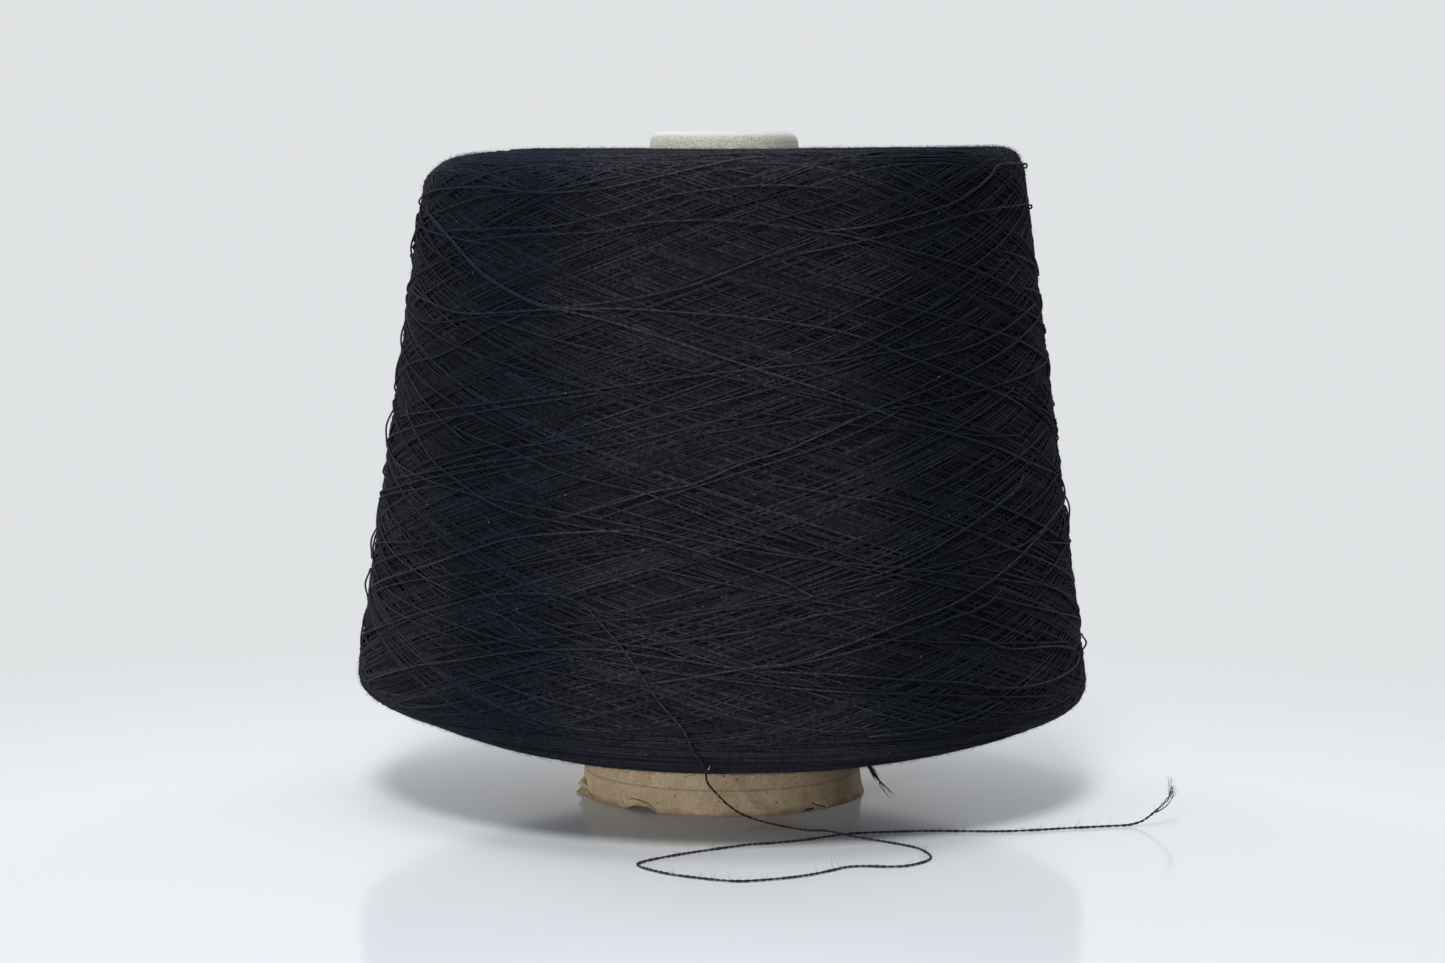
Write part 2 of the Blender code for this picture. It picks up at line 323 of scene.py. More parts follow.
threadLook = dict(  # a noise is its scale and detail
    navy=(0.0060, 0.0073, 0.0128, 1), charcoal=(0.0145, 0.0151, 0.0204, 1),
    plum=(0.0165, 0.0140, 0.0185, 1), cream=(0.400, 0.370, 0.265, 1), creamFrom=10,
    lint=(0.110, 0.117, 0.130, 1), lintScale=430, lintSize=0.10, lintSpread=61,
    # navyAt, navyWithin, navyUntil place navy bands on either side of the axis: the yarn's own navy tint,
    # and painted shade on the flanks' sides
    navyAt=0.054, navyWithin=0.009, navyUntil=0.033, strandSpread=9.7, strandSway=0.006,
    patchNoise=(30, 2), patchSway=0.035, dashNoise=(1150, 2), dashSpan=(0.36, 0.66), dashBump=0.6,
    streakNoise=(3600, 2), streakSpan=(0.30, 0.70), bump=0.45, bumpDepth=0.0002,
    toneShade=(0.42, 1.0), dashShade=(0.62, 0.72), streakShade=(0.72, 0.56), roughness=(0.68, 0.3),
    # painted highlight on the yarn along the top rim: where it starts, where it is full, how much lighter
    rubbedFrom=0.1535, rubbedTo=0.1645, rubbed=0.55,
    specular=0.06, sheen=0.02, sheenRoughness=0.5, sheenTint=(0.60, 0.62, 0.68, 1),
)


def threadFinish(name, lightness, lintShare, light="charcoal", dark="navy"):
    look = threadLook
    finish = newFinish(name, specularIORLevel=look["specular"], sheenWeight=look["sheen"],
                       sheenRoughness=look["sheenRoughness"], sheenTint=look["sheenTint"])
    tone = finish.tone()
    strand = (tone * look["strandSpread"]) % 1  # each strand has a tint of its own
    # the yarn's navy tint and painted shade: darker bands at a set distance on either side of the axis
    zone = abs(abs(finish.axis("X")) - look["navyAt"]) + look["strandSway"] * strand
    zone = zone + look["patchSway"] * (finish.noise(*look["patchNoise"]) - 0.5)
    navyAndSideShade = finish.between(zone, look["navyWithin"], look["navyUntil"])
    dash = finish.between(finish.noise(*look["dashNoise"]), *look["dashSpan"])
    streak = finish.between(finish.noise(*look["streakNoise"]), *look["streakSpan"])
    shade = gained(tone, *look["toneShade"]) * gained(dash, *look["dashShade"])
    rubbed = finish.between(finish.axis("Z"), look["rubbedFrom"], look["rubbedTo"])  # painted highlight along the top rim, where the fuzz catches the light
    shade = shade * gained(streak, *look["streakShade"]) * gained(rubbed, lightness, look["rubbed"])
    colour = finish.dim(finish.mix(navyAndSideShade, look[dark], look[light]), shade)
    colour = finish.mix(tone > look["creamFrom"], colour, look["cream"])
    cells = {"Vector": finish.place(), "Scale": look["lintScale"]}
    spot = finish.node("TexVoronoi", {}, cells, "Distance")
    pick = finish.node("SeparateColor", {}, {0: finish.node("TexVoronoi", {}, cells, "Color")})
    lint = (spot < look["lintSize"]) * (pick < lintShare) * ((pick * look["lintSpread"]) % 1)
    finish.give(baseColor=finish.mix(lint, colour, look["lint"]))
    finish.give(roughness=gained(streak, *look["roughness"]))
    finish.give(normal=finish.bump(streak + look["dashBump"] * dash, look["bump"], look["bumpDepth"]))
    return finish


woundThread = threadFinish("woundThread", lightness=1.0, lintShare=0.08)
# painted shade: the inner layers, seen in the gaps between the outer turns, are darkened to 0.7
shadedInnerThread = threadFinish("shadedInnerThread", lightness=0.7, lintShare=0.01)
looseThread = threadFinish("looseThread", lightness=1.9, lintShare=0, light="plum", dark="charcoal")


tailForm = dict(
    diameter=0.0007, plyRadius=0.00018, plyOffset=0.00014, twist=0.0034, step=0.00025, sides=6,
    twistSway=0.9, swayWave=310, slub=0.28, slubWaves=(760, 233), frayed=0.009, thinning=0.55, opening=1.2,
    tone=0.7, aside=(0.13, 0.2, 0.97), looseAside=(0.2, 0.9, 0.3),
    hairs=150, hairRadius=0.000028, hairPoints=4, hairFrom=200, hairShort=5, hairReach=0.0013,
    hairBow=0.0003, fibreRadius=0.00006, tipRoot=-9, looseTipRoot=-5, tipBow=0.0004,
    length=0.314, pathStep=0.002, bend=(0.0024, -0.0012, -0.0120),
    route=[  # from its exit under the package to its free end
        (-0.0038, -0.0478, 0.0121), (-0.0038, -0.0478, 0.0114), (-0.0030, -0.0473, 0.0098),
        (-0.0009, -0.0470, 0.0074), (0.0014, -0.0463, 0.0050), (0.0048, -0.0456, 0.0025),
        (0.0095, -0.0456, 0.0008), (0.0146, -0.0503, 0.0005), (0.0205, -0.0573, 0.0009),
        (0.0255, -0.0622, 0.0017), (0.0317, -0.0647, 0.0009), (0.0381, -0.0673, 0.0004),
        (0.0427, -0.0712, 0.0004), (0.0470, -0.0763, 0.0004), (0.0491, -0.0840, 0.0004),
        (0.0481, -0.0898, 0.0004), (0.0435, -0.0953, 0.0004), (0.0390, -0.0967, 0.0004),
        (0.0340, -0.0962, 0.0004), (0.0295, -0.0970, 0.0004), (0.0257, -0.1006, 0.0004),
        (0.0210, -0.1052, 0.0004), (0.0155, -0.1089, 0.0004), (0.0087, -0.1118, 0.0004),
        (0.0020, -0.1127, 0.0004), (-0.0095, -0.1072, 0.0004), (-0.0143, -0.1032, 0.0004),
        (-0.0180, -0.0988, 0.0004), (-0.0195, -0.0953, 0.0004), (-0.0187, -0.0929, 0.0004),
        (-0.0165, -0.0900, 0.0004), (-0.0088, -0.0830, 0.0004), (0.0013, -0.0757, 0.0004),
        (0.0070, -0.0720, 0.0004), (0.0130, -0.0700, 0.0004), (0.0195, -0.0668, 0.0004),
        (0.0248, -0.0631, 0.0004), (0.0300, -0.0597, 0.0004), (0.0361, -0.0575, 0.0004),
        (0.0510, -0.0553, 0.0004), (0.0690, -0.0553, 0.0004), (0.0850, -0.0512, 0.0004),
        (0.0940, -0.0488, 0.0004), (0.0998, -0.0477, 0.0005), (0.1025, -0.0470, 0.0010),
        (0.1045, -0.0465, 0.0019), (0.1075, -0.0460, 0.0043), (0.1092, -0.0460, 0.0060),
        (0.1104, -0.0460, 0.0078), (0.1109, -0.0460, 0.0098),
    ],
    looseRoute=[
        (0.1068, -0.0464, 0.0034), (0.1080, -0.0470, 0.0042), (0.1093, -0.0474, 0.0053),
        (0.1103, -0.0475, 0.0066), (0.1110, -0.0474, 0.0080),
    ],
    frayTips=[  # by turns from the tail and from its loose ply
        (0.1109, -0.0455, 0.0123), (0.1117, -0.0470, 0.0101), (0.1095, -0.0462, 0.0122),
        (0.1104, -0.0480, 0.0094), (0.1114, -0.0452, 0.0113), (0.1120, -0.0466, 0.0088),
        (0.1098, -0.0458, 0.0128), (0.1115, -0.0476, 0.0096), (0.1106, -0.0462, 0.0118),
        (0.1121, -0.0472, 0.0092), (0.1101, -0.0466, 0.0125), (0.1112, -0.0482, 0.0099),
    ],
)
startForm = dict(
    route=[
        (0.0367, -0.0222, 0.0130), (0.0370, -0.0222, 0.0112), (0.0373, -0.0222, 0.0098),
        (0.0388, -0.0225, 0.0080), (0.0403, -0.0230, 0.0060),
    ],
    tips=[
        (0.0434, -0.0235, 0.0022), (0.0426, -0.0240, 0.0029), (0.0431, -0.0231, 0.0034),
        (0.0421, -0.0232, 0.0030), (0.0423, -0.0240, 0.0041), (0.0440, -0.0238, 0.0027),
    ],
    tipRoot=-4, tipRadius=0.00013, tipBow=0.0003, spread=0.0004,
    hairs=110, fibreRadius=0.00008, hairPoints=5, hairBow=0.0002, hairSpan=(6, 16),
)
fibreForm = dict(sides=4, thinning=0.7, aside=(0.31, 0.83, 0.46))


def twistedPlies(line, frayed=0):  # two plies laid round one line, thin and open over a frayed end
    form = tailForm
    along = unit(np.gradient(line, axis=0))
    side = unit(np.cross(along, form["aside"]))
    over = np.cross(side, along)
    length = lengthAlong(line)
    fray = ramp(length, length[-1] - max(frayed, form["step"]), length[-1])
    offset = form["plyOffset"] * (1 + form["opening"] * fray)[:, None]
    turn = length / form["twist"] * 2 * np.pi + form["twistSway"] * np.sin(length * form["swayWave"])
    angle = (turn + [[0], [np.pi]])[:, :, None]  # on opposite sides of the line
    paths = line + offset * (np.cos(angle) * over + np.sin(angle) * side)
    shortWave, longWave = form["slubWaves"]
    slub = 1 + form["slub"] * np.sin(length * shortWave) * np.sin(length * longWave + 1)
    radius = form["plyRadius"] * slub * (1 - form["thinning"] * fray)
    return toned(tubes(paths, radius, form["sides"], paths - line + 1e-9), form["tone"])


def fibre(start, end, radius, bow, count=7, tone=0.8):  # a fine hair from start to end, bowed sideways
    share = np.linspace(0, 1, count)[:, None]
    start, end = np.asarray(start), np.asarray(end)
    path = start + (end - start) * share + np.asarray(bow) * np.sin(np.pi * share)
    thin = radius * (1 - fibreForm["thinning"] * share[:, 0])
    return toned(tubes(path[None], thin, fibreForm["sides"], fibreForm["aside"]), tone)


tailLine = smoothRoute(tailForm["route"], tailForm["step"])
tailPath = smoothRoute(tailForm["route"], tailForm["pathStep"])
tail = makePiece("thread_tail_twisted", looseThread, *twistedPlies(tailLine, tailForm["frayed"]))
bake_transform(tail)
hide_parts("thread_tail")

looseLine = smoothRoute(tailForm["looseRoute"], tailForm["step"])
looseRadius = tailForm["plyRadius"] * np.linspace(1, 1 - tailForm["thinning"], len(looseLine))
loosePly = tubes(looseLine[None], looseRadius, tailForm["sides"], tailForm["looseAside"])
wisps = [toned(loosePly, tailForm["tone"])]
tipRoots = (tailLine[tailForm["tipRoot"]], looseLine[tailForm["looseTipRoot"]])
for index, tip in enumerate(tailForm["frayTips"]):
    bow = chance.normal(0, tailForm["tipBow"], 3)
    wisps.append(fibre(tipRoots[index % 2], tip, tailForm["fibreRadius"], bow))
for _ in range(tailForm["hairs"]):  # short hairs along the stretch that lies on the floor
    root = tailLine[chance.integers(tailForm["hairFrom"], len(tailLine) - tailForm["hairShort"])]
    reach = chance.normal(0, tailForm["hairReach"], 3)
    bow = chance.normal(0, tailForm["hairBow"], 3)
    reach[2], bow[2] = abs(reach[2]), abs(bow[2])
    wisps.append(fibre(root, root + reach, tailForm["hairRadius"], bow, tailForm["hairPoints"]))
tailWisps = makePiece("thread_tail_loose_ply", looseThread, *joined(wisps))
settle(tailWisps, "cone", "thread_loose", "tail_loose_ply")

startLine = smoothRoute(startForm["route"], tailForm["step"])
startBits = [twistedPlies(startLine)]
for tip in startForm["tips"]:
    bow = chance.normal(0, startForm["tipBow"], 3)
    startBits.append(fibre(startLine[startForm["tipRoot"]], tip, startForm["tipRadius"], bow))
shortest, longest = startForm["hairSpan"]
for _ in range(startForm["hairs"]):  # fibres that have come loose along it
    place = chance.integers(shortest, len(startLine) - longest)
    end = startLine[place + chance.integers(shortest, longest)]
    end = end + chance.normal(0, startForm["spread"], 3)
    bow = chance.normal(0, startForm["hairBow"], 3)
    startBits.append(fibre(startLine[place], end, startForm["fibreRadius"], bow, startForm["hairPoints"]))
startTail = makePiece("start_tail_frayed", looseThread, *joined(startBits))
settle(startTail, "package", "thread_loose", "start_tail")
print(f"thread tail is {lengthAlong(tailPath)[-1] / mm:.1f} mm long")


coneForm = dict(baseRadius=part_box("paper_cone")[1].x, halfAngle=np.radians(5.95), wall=0.0026)
packageForm = dict(
    underside=0.0121, shoulderRise=0.0156, undersideCurve=1.87, shoulderRadius=0.0945,
    shoulderRounding=0.0049, topRadius=0.0758, top=0.1656, topRounding=0.0066, gap=0.0004, noseGap=0.0006,
    rightTopRise=0.0013, rightShoulderDrop=0.0012, leanBand=(0.050, 0.080),
    leftCornerFall=0.0046, leftCornerFrom=0.1550, leftTopFall=0.0011, cornerBand=(0.055, 0.070),
    meanRadius=0.085, rows=60, bendRows=14, edgeSlant=1.2,
)
shoulderHeight = packageForm["underside"] + packageForm["shoulderRise"]
meanRadius = packageForm["meanRadius"]


def coneRadius(height):
    return coneForm["baseRadius"] - height * np.tan(coneForm["halfAngle"])


def packageOutline():  # radius and height from the underside at the cone to the top at the nose
    form = packageForm
    share = np.linspace(0, 1, form["rows"])[:, None]
    turn = np.linspace(0, 1, form["bendRows"])[1:-1, None]

    def rounded(start, corner, end):
        return start * (1 - turn) ** 2 + 2 * corner * turn * (1 - turn) + end * turn**2

    inner = coneRadius(form["underside"]) + form["gap"]
    under = inner + (form["shoulderRadius"] - form["shoulderRounding"] - inner) * share
    rise = ((under - inner) / (form["shoulderRadius"] - inner)) ** form["undersideCurve"]
    under = np.hstack([under, form["underside"] + form["shoulderRise"] * rise])
    low = np.array([form["shoulderRadius"], shoulderHeight])
    high = np.array([form["topRadius"], form["top"]])
    flank = unit(high - low)
    lowEnd = low + flank * form["shoulderRounding"]
    highStart = high - flank * form["topRounding"]
    side = lowEnd + (highStart - lowEnd) * share
    highEnd = high - (form["topRounding"], 0)
    nose = np.array([coneRadius(form["top"]) + form["noseGap"], form["top"]])
    face = highEnd + (nose - highEnd) * share
    return np.vstack([under, rounded(under[-1], low, lowEnd), side, rounded(highStart, high, highEnd), face])


outline = packageOutline()
outlineLength = lengthAlong(outline)
outlineAlong = unit(np.gradient(outline, axis=0))
lowEdge = np.interp(shoulderHeight, outline[:, 1], outlineLength)
highEdge = outlineLength[np.argmax(outline[:, 0] + packageForm["edgeSlant"] * outline[:, 1])]
faceEnd = outlineLength[-1]


def onPackage(azimuth, along, lift):  # points on the package's outside, and the way they face
    form = packageForm
    facingOut = np.interp(along, outlineLength, outlineAlong[:, 1])
    facingUp = -np.interp(along, outlineLength, outlineAlong[:, 0])
    radius = np.interp(along, outlineLength, outline[:, 0]) + lift * facingOut
    height = np.interp(along, outlineLength, outline[:, 1]) + lift * facingUp
    leftward = np.clip(-np.cos(azimuth), 0, 1) * ramp(radius, *form["cornerBand"])
    worn = ramp(height, form["leftCornerFrom"], form["top"])
    radius = radius - form["leftCornerFall"] * leftward * worn**2
    rise = ramp(height, shoulderHeight, form["top"])
    lean = rise * form["rightTopRise"] - (1 - rise) * form["rightShoulderDrop"]
    height = height + lean * np.cos(azimuth) * ramp(radius, *form["leanBand"])
    height = height - form["leftTopFall"] * leftward * worn
    return upright(azimuth, radius, height), upright(azimuth, facingOut, facingUp)


# outer turns, laid as one thread that runs up and down the flank while it goes round
turnsForm = dict(
    radius=0.00025, sides=4, pointsAStroke=51, turnAtEdge=0.09, wander=0.0005, wanderWaves=14,
    spread=0.0003, depthSpread=0.0001, depthLimit=0.0002, lightest=1.5, toneBeta=(1.5, 2.4),
    layers=[  # turns in a round of double strokes, how many those are, rounds, depth, azimuth at the start
        (22, 13, 7, 0.00100, 40), (19, 11, 8, 0.00082, 115), (26, 15, 6, 0.00064, 300),
        (12, 7, 12, 0.00046, 205), (29, 17, 5, 0.00030, 160), (17, 10, 8, 0.00014, -70),
    ],
    spacing=0.00066, edgeLow=(-0.0060, 0.0035), edgeHigh=(-0.0035, 0.0055),
)
# where the thread turns back, its bends lie beside each other in arcs round the axis
faceForm = dict(
    radius=0.00026, sides=4, points=12, span=(35, 85), slant=0.0007, sunk=0.0005, tucked=0.0011,
    topCount=950, topPast=0.002, topShort=0.0004, lowCount=1300, lowFrom=0.0006, lowPast=0.002,
)


def eased(share, edge):  # steady between the edges, slowing to a turn at both ends
    start = share**2 / (2 * edge * (1 - edge))
    end = 1 - (1 - share) ** 2 / (2 * edge * (1 - edge))
    middle = (share - edge / 2) / (1 - edge)
    return np.where(share < edge, start, np.where(share > 1 - edge, end, middle))


def onward(values, share):  # from each stroke's value to the next one's
    return values[:-1] + (values[1:] - values[:-1]) * share


def strands(azimuth, along, lift, form):  # threads on the package, each with a shade, most of them dark
    paths, facing = onPackage(azimuth, along, lift)
    points, faces = tubes(paths, form["radius"], form["sides"], facing)
    shades = turnsForm["lightest"] * chance.beta(*turnsForm["toneBeta"], len(paths))
    return points, faces, np.repeat(shades, len(points) // len(paths))


def windLayer(turns, strokes, rounds, depth, start):
    form = turnsForm
    count = 2 * strokes * rounds
    advance = form["spacing"] / meanRadius / strokes
    sweep = (2 * np.pi * turns / strokes + advance) / 2
    share = np.linspace(0, 1, form["pointsAStroke"])[None]
    stroke = np.arange(count)[:, None]
    low = lowEdge + chance.uniform(*form["edgeLow"], count + 1)
    high = highEdge + chance.uniform(*form["edgeHigh"], count + 1)
    ends = np.where(np.arange(count + 1) % 2 == 0, low, high)[:, None]
    slip = chance.normal(0, form["spread"], count + 1)[:, None] / meanRadius
    azimuth = np.radians(start) + sweep * (stroke + share) + onward(slip, share)
    along = onward(ends, eased(share, form["turnAtEdge"]))
    phase = chance.uniform(0, 2 * np.pi, (count, 1))
    along = along + form["wander"] * np.sin(share * form["wanderWaves"] + phase) * np.sin(np.pi * share)
    uneven = chance.normal(0, form["depthSpread"], (count + 1, 1))
    depths = depth + uneven.clip(-form["depthLimit"], form["depthLimit"])
    return strands(azimuth, along, -form["radius"] - onward(depths, share), form)


def windFace(start, end, count):
    form = faceForm
    middle = chance.uniform(start, end, (count, 1))
    span = np.radians(chance.uniform(*form["span"], (count, 1)))
    share = np.linspace(-1, 1, form["points"])[None]
    azimuth = chance.uniform(0, 2 * np.pi, (count, 1)) + span * share / 2
    along = middle + chance.normal(0, form["slant"], (count, 1)) * share
    lift = -form["radius"] - chance.uniform(0, form["sunk"], (count, 1)) - form["tucked"] * share**4
    return strands(azimuth, along, lift, form)


def makeTurns(name, groups, *nodes):
    settle(makePiece(name, woundThread, *joined(groups)), "package", "thread_outer", *nodes)


layers = [windLayer(*layer) for layer in turnsForm["layers"]]
makeTurns("outer_turns_inner", layers[:2])
makeTurns("outer_turns_middle", layers[2:4])
makeTurns("outer_turns_outer", layers[4:], "outer_winding")
topTurns = windFace(highEdge - faceForm["topPast"], faceEnd - faceForm["topShort"], faceForm["topCount"])
lowTurns = windFace(faceForm["lowFrom"], lowEdge + faceForm["lowPast"], faceForm["lowCount"])
makeTurns("top_turns", [topTurns])
makeTurns("underside_turns", [lowTurns])
print("outer turns are laid")

bodyForm = dict(
    depth=0.0012, steps=160, rows=130, rowsFrom=0.0016, rowsShort=0.0012,
    boreRows=20, bore=0.0004, tuck=0.0022, tone=0.4,
)


def makeBody():  # the layers under the outer turns, closed round the cone
    form = bodyForm
    azimuth = evenTurns(form["steps"])[:, None]
    along = np.linspace(form["rowsFrom"], faceEnd - form["rowsShort"], form["rows"])[None]
    outside, _ = onPackage(azimuth, along, -form["depth"])
    highest, lowest = packageForm["top"] - form["tuck"], packageForm["underside"] + form["tuck"]
    heights = np.linspace(highest, lowest, form["boreRows"])[None]
    bore = upright(azimuth, coneRadius(heights) + form["bore"], heights)
    shape = woven(np.concatenate([outside, bore], 1))
    body = makePiece("wound_body", shadedInnerThread, *toned(shape, form["tone"]))
    settle(body, "package", "thread_inner", "wound_core")


makeBody()
print("body is closed")

# strands as the photo shows them, in its pixels
seenRoutes = dict(
    leftBundle=[(424, 196), (426, 206), (440, 224), (456, 242), (481, 270), (509, 289), (537, 303),
        (559, 308), (600, 318), (650, 333), (700, 350), (769, 373), (833, 394), (904, 421), (951, 434),
        (997, 448), (1033, 464), (1061, 477)],
    leftBundleInner=[(425, 203), (438, 219), (454, 238), (480, 267), (508, 287), (536, 301), (560, 306),
        (610, 311)],
    leftSag=[(409, 283), (431, 300), (462, 311), (503, 311), (556, 308), (619, 308), (666, 311), (759, 319),
        (850, 335), (906, 357), (985, 388), (1030, 410)],
    leftRise=[(368, 594), (420, 570), (465, 554), (510, 540), (560, 534), (640, 530)],
    leftBright=[(450, 425), (483, 440), (510, 450), (537, 462), (563, 473), (600, 483), (650, 495),
        (690, 510), (730, 525), (800, 543)],
    topWave=[(427, 187), (480, 183), (540, 190), (600, 187), (660, 175), (720, 163), (775, 155)],
    topSecond=[(440, 228), (500, 226), (556, 224), (600, 214), (631, 206), (675, 194), (759, 186),
        (840, 190)],
    topThird=[(462, 239), (525, 233), (594, 231), (650, 222), (712, 220), (759, 224), (850, 238),
        (906, 252), (959, 267), (1022, 296)],
    topRise=[(535, 309), (619, 300), (681, 288), (712, 278), (759, 260), (820, 240)],
    rightCorner=[(1025, 169), (1002, 168), (990, 179), (977, 191), (947, 208), (891, 223), (862, 229),
        (821, 232)],
    rightCornerLower=[(1029, 206), (982, 214), (922, 229), (851, 245), (791, 256)],
    rightBright=[(840, 583), (890, 570), (926, 552), (951, 537), (972, 523), (997, 504), (1019, 484),
        (1026, 471)],
    rightFall=[(765, 482), (840, 495), (904, 507), (961, 527), (1019, 550), (1054, 564), (1074, 579)],
    middleRise=[(557, 520), (620, 502), (653, 492), (694, 484), (744, 463), (783, 452), (819, 436),
        (854, 420), (890, 404)],
    middleRiseLower=[(590, 522), (661, 498), (740, 473), (811, 450), (869, 427), (911, 404)],
    longFall=[(403, 397), (417, 433), (433, 460), (457, 480), (480, 497), (513, 513), (557, 522),
        (600, 530), (650, 538), (703, 553), (753, 570), (783, 580), (811, 595), (843, 602)],
    lowBand=[(364, 688), (376, 682), (418, 669), (459, 663), (515, 654), (559, 651), (609, 651), (652, 657),
        (699, 663), (760, 672)],
    lowBandRight=[(758, 671), (826, 673), (890, 677), (961, 680), (997, 685), (1033, 682), (1065, 670),
        (1081, 652)],
    lowMiddle=[(640, 646), (711, 637), (761, 629), (811, 616), (840, 611), (890, 602)],
    lowDouble=[(500, 606), (515, 612), (546, 624), (584, 635), (615, 644), (660, 650), (686, 660),
        (729, 667), (779, 666), (826, 657), (854, 650), (904, 634), (947, 618), (983, 604), (1008, 584)],
    lowRise=[(640, 686), (686, 679), (754, 667), (794, 662), (840, 646), (904, 621), (947, 605), (979, 587),
        (1019, 555), (1036, 537), (1054, 514), (1065, 489)],
    lowRim=[(960, 632), (983, 637), (1011, 646), (1054, 643), (1076, 646)],
    hook=[(477, 610), (495, 615), (509, 622), (524, 635), (537, 644)],
    smallLoop=[(505, 608), (498, 604), (496, 597), (500, 593), (507, 591)],
)
# single threads that lie loose on the outside, at azimuths in degrees and heights in mm
strayForm = dict(
    radius=0.00025, sides=6, step=0.0012, tucked=0.0010, tuckShare=0.06, room=(31, 160),
    drawn=dict(lift=0.00028, tones=(0.9, 1.5)),
    loop=dict(lift=0.00014, tones=(0.6, 1.5), points=7, width=0.42),
    # threads of the last strokes, which lie at their own slants
    loose=dict(lift=0.00002, tones=(0.4, 1.1), count=54, points=6, span=(50, 140), low=(34, 152),
               climb=(0.12, 0.42), waver=0.5, bow=9),
    # stretches that stand a little proud and make the outline uneven
    raised=dict(lift=0.00008, tones=(0.2, 0.9), count=120, points=5, span=(18, 42), low=(32, 156),
                climb=(0.28, 0.62)),
    lastRoute=[  # azimuths and heights of the one that runs on as the tail
        (-175, 39.5), (-158, 46), (-145, 52), (-134, 57), (-128, 59.5), (-121, 61), (-115, 61),
        (-111, 59), (-107, 53.5), (-103, 46.5), (-99.2, 38.1), (-95.5, 31.5), (-93.9, 25),
        (-93.2, 19.8), (-93.4, 15.9), (-94.5, 12.94),
    ],
    lastBulge=(0.00056, 1, 0.08),  # it stands off over its last stretch
    loops=[  # azimuth, height, how far round it goes, how far it stands off in mm, mm up a degree
        (-178, 94.8, 14, 0.7, -0.77), (-176, 141.3, 12, 0.4, 0.84), (-178, 64.7, 12, 0.7, -0.7),
        (-177, 53.2, 10, 0.7, 1.12), (-2, 75, 13, 0.7, 0.7), (-3, 40.3, 11, 0.8, -0.7),
        (62, 120, 13, 0.8, 0.7), (118, 66, 12, 0.8, -0.7), (150, 101, 13, 0.7, 0.84), (35, 48, 11, 0.7, 0.7),
    ],
)
# small rings of thread that stand off the side: azimuth, height and size in mm
curlForm = dict(
    places=[(-2, 160.4, 0.55), (-3, 150.2, 0.45), (-177, 139, 0.40), (74, 131, 0.5), (140, 88, 0.45)],
    points=24, overlap=0.9, squeeze=0.5, sunk=0.0004, tone=0.9, aside=(0.3, 0.8, 0.5),
)
# a pale bit of lint by the tail, its height in mm
lintForm = dict(
    azimuth=-92.3, height=19.8, lift=0.0001, half=0.0006, slant=(0.35, -0.1, 0.9), radius=0.00020,
    bow=0.0004, tone=26,
)


def heightToAlong(height):
    side = outlineLength <= highEdge
    return np.interp(height, outline[side, 1], outlineLength[side])


def seenOnFlank(pixels):  # azimuth and height in mm where the camera's rays meet the package's side
    picks, (width, height) = np.array(pixels, float), shot["photo"]
    focal = np.full(len(picks), shot["lens"] / shot["sensor"] * width)
    ray = np.stack([picks[:, 0] - width / 2, height / 2 - picks[:, 1], -focal], 1)
    ray = ray @ np.array(cameraTurn.to_matrix()).T
    form, place = packageForm, np.array(shot["place"])
    slope = (form["topRadius"] - form["shoulderRadius"]) / (form["top"] - shoulderHeight)
    radius = form["shoulderRadius"] + slope * (place[2] - shoulderHeight)
    square = ray[:, 0] ** 2 + ray[:, 1] ** 2 - (slope * ray[:, 2]) ** 2
    half = ray[:, :2] @ place[:2] - radius * slope * ray[:, 2]
    root = np.sqrt(np.maximum(half**2 - square * (place[:2] @ place[:2] - radius**2), 0))
    met = place + ((-half - root) / square)[:, None] * ray
    return np.stack([np.degrees(np.arctan2(met[:, 1], met[:, 0])), met[:, 2] / mm], 1)


def strayThread(route, kind, bulge=(0, 0.5, 1), tuckEnd=True):  # bulge: height, middle, width
    flat = np.array([(np.radians(turn) * meanRadius, high * mm, 0) for turn, high in route])
    curve = smoothRoute(flat, strayForm["step"])
    share = np.linspace(0, 1, len(curve))
    fromEnd = np.minimum(share, 1 - share) if tuckEnd else share
    height, middle, width = bulge
    lift = kind["lift"] + height * hump(share, middle, width)
    lift = lift - strayForm["tucked"] * ramp(fromEnd, strayForm["tuckShare"], 0)
    paths, facing = onPackage(curve[:, 0] / meanRadius, heightToAlong(curve[:, 1]), lift)
    shape = tubes(paths[None], strayForm["radius"], strayForm["sides"], facing)
    return toned(shape, chance.uniform(*kind["tones"]))


def curl(turn, high, size):
    form, size = curlForm, size * mm
    angle = np.linspace(-form["overlap"], 2 * np.pi + form["overlap"], form["points"])
    azimuth = np.radians(turn) + (angle - np.pi) * size / meanRadius * form["squeeze"]
    along = heightToAlong(high * mm) + size * np.sin(angle)
    paths, _ = onPackage(azimuth, along, size * (1 - np.cos(angle)) - form["sunk"])
    return toned(tubes(paths[None], strayForm["radius"], strayForm["sides"], form["aside"]), form["tone"])


def lintBit():
    form = lintForm
    along = heightToAlong(form["height"] * mm)
    middle, facing = onPackage(np.radians(form["azimuth"]), along, form["lift"])
    reach = np.array(form["slant"]) * form["half"]
    return fibre(middle - reach, middle + reach, form["radius"], facing * form["bow"], tone=form["tone"])


def standingLoop(turn, high, span, standOff, slope):
    kind = strayForm["loop"]
    shares = np.linspace(-0.5, 0.5, kind["points"])
    route = [(turn + span * share, high + slope * span * share) for share in shares]
    return strayThread(route, kind, bulge=(standOff * mm, 0.5, kind["width"]))


def chanceStroke(kind):  # shares, azimuths and heights in mm of a straight stretch anywhere
    start, span = chance.uniform(0, 360), chance.uniform(*kind["span"])
    low, climb = chance.uniform(*kind["low"]), chance.choice([-1, 1]) * chance.uniform(*kind["climb"])
    shares = np.linspace(0, 1, kind["points"])
    return shares, start + span * shares, low + climb * span * shares


